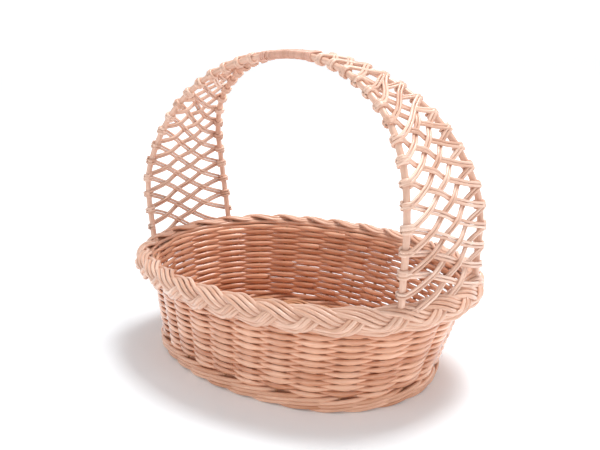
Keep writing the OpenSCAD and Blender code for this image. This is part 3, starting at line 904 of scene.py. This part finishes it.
wrap_dice = random.Random(61)
wrap = []
skein_half = grip_half - 0.005
turn_count = round(2 * skein_half / (skein_wide * 1.06))
for i in range(turn_count):
    x0 = -skein_half + 2 * skein_half * i / turn_count
    lift = skein_thick * wrap_dice.uniform(0.85, 1.1)
    x1 = x0 + 2 * skein_half / turn_count
    wrap.append(grip_turn(x0, x1, skein_wide / 2, lift, wrap_dice.uniform(0.4, 0.7)))
for end in (-1, 1):
    for i in range(3):
        x0 = end * (skein_half + 0.0012 + end_turn_pitch * i)
        wrap.append(grip_turn(x0, x0 + end * 0.0022, end_turn_rod, end_turn_rod, 0.1))
settle(willow_rods("grip_skein", wrap, 8), skein_finish, "wrap_skein", "grip_wrap")


# ---- studio ---------------------------------------------------------------------------------
# A white floor with painted light, a glow that grows away from the basket, inside a low ring of
# lit paper, soft white light from above, and the camera a little above the rim, off one corner.

bpy.ops.mesh.primitive_plane_add(size=24, location=(0, 0, 0))
floor = bpy.context.object
floor.name = "studio_floor"
bpy.ops.mesh.primitive_cylinder_add(
    vertices=128, radius=11.5, depth=2, end_fill_type="NOTHING", location=(0, 0, 1))
screen = bpy.context.object
screen.name = "studio_screen"
paper = bpy.data.materials.new("floor_paper_painted_glow")
paper.use_nodes = True
paper_nodes, paper_links = paper.node_tree.nodes, paper.node_tree.links
paper_skin = paper_nodes["Principled BSDF"]
paper_skin.inputs["Base Color"].default_value = (0.91, 0.945, 0.975, 1)
paper_skin.inputs["Roughness"].default_value = 0.85
paper_skin.inputs["Emission Color"].default_value = (1, 1, 1, 1)
# painted light: the paper itself glows, faintly near the basket, which lifts its shadows, and more and
# more away from it, towards the lit screen around it
paper_place = paper_nodes.new("ShaderNodeTexCoord")
paper_reach = paper_nodes.new("ShaderNodeVectorMath")
paper_reach.operation = "LENGTH"
paper_painted_glow = paper_nodes.new("ShaderNodeMapRange")
paper_painted_glow.interpolation_type = "SMOOTHSTEP"
for slot, value in (("From Min", 0.16), ("From Max", 1.3), ("To Min", 0.09), ("To Max", 0.5)):
    paper_painted_glow.inputs[slot].default_value = value
paper_links.new(paper_place.outputs["Object"], paper_reach.inputs[0])
paper_links.new(paper_reach.outputs["Value"], paper_painted_glow.inputs["Value"])
paper_links.new(paper_painted_glow.outputs["Result"], paper_skin.inputs["Emission Strength"])
floor.data.materials.append(paper)
glow = bpy.data.materials.new("screen_glow")
glow.use_nodes = True
glow_skin = glow.node_tree.nodes["Principled BSDF"]
glow_skin.inputs["Base Color"].default_value = (0.9, 0.9, 0.9, 1)
glow_skin.inputs["Emission Color"].default_value = (1, 1, 1, 1)
glow_skin.inputs["Emission Strength"].default_value = 1.0
screen.data.materials.append(glow)
for sheet in (floor, screen):
    sheet.select_set(False)

world = bpy.data.worlds.new("studio_air")
bpy.context.scene.world = world
world.use_nodes = True
air = world.node_tree.nodes["Background"]
air.inputs["Color"].default_value = (0.96, 0.98, 1, 1)
air.inputs["Strength"].default_value = 0.47


def softbox(name, place, aim, size, power):
    """A rectangular white lamp at a place, turned to what it lights."""
    lamp = bpy.data.lights.new(name, "AREA")
    lamp.shape = "RECTANGLE"
    lamp.size, lamp.size_y = size
    lamp.energy = power
    holder = bpy.data.objects.new(name, lamp)
    bpy.context.scene.collection.objects.link(holder)
    holder.location = place
    holder.rotation_euler = (Vector(aim) - Vector(place)).to_track_quat("-Z", "Y").to_euler()


softbox("light_above", (0.1, 0.6, 1.9), (0, 0, 0.1), (0.9, 0.8), 38)
softbox("light_left", (-0.7, -1.7, 1.4), (0, 0, 0.15), (0.6, 0.6), 3)
softbox("light_right", (1.6, -0.3, 1.3), (0, 0, 0.15), (0.6, 0.6), 3)

azimuth, elevation, roll = math.radians(45.53), math.radians(14.85), math.radians(-2.04)
camera_aim = Vector((0, 0, 0.14103))
camera_aside, camera_away = 0.00331, 0.8358
level = math.cos(elevation)
back = Vector((math.sin(azimuth) * level, -math.cos(azimuth) * level, math.sin(elevation)))
right = Vector((math.cos(azimuth), math.sin(azimuth), 0))
up = back.cross(right)
rolled_right = math.cos(roll) * right + math.sin(roll) * up
rolled_up = math.cos(roll) * up - math.sin(roll) * right
lens = bpy.data.cameras.new("studio_camera")
lens.sensor_width = 36
lens.lens = 47.49
camera = bpy.data.objects.new("studio_camera", lens)
bpy.context.scene.collection.objects.link(camera)
turned = Matrix((rolled_right, rolled_up, back)).transposed()
camera_place = camera_aim + right * camera_aside + back * camera_away
camera.matrix_world = Matrix.Translation(camera_place) @ turned.to_4x4()
bpy.context.scene.camera = camera
bpy.context.scene.view_settings.view_transform = "Standard"
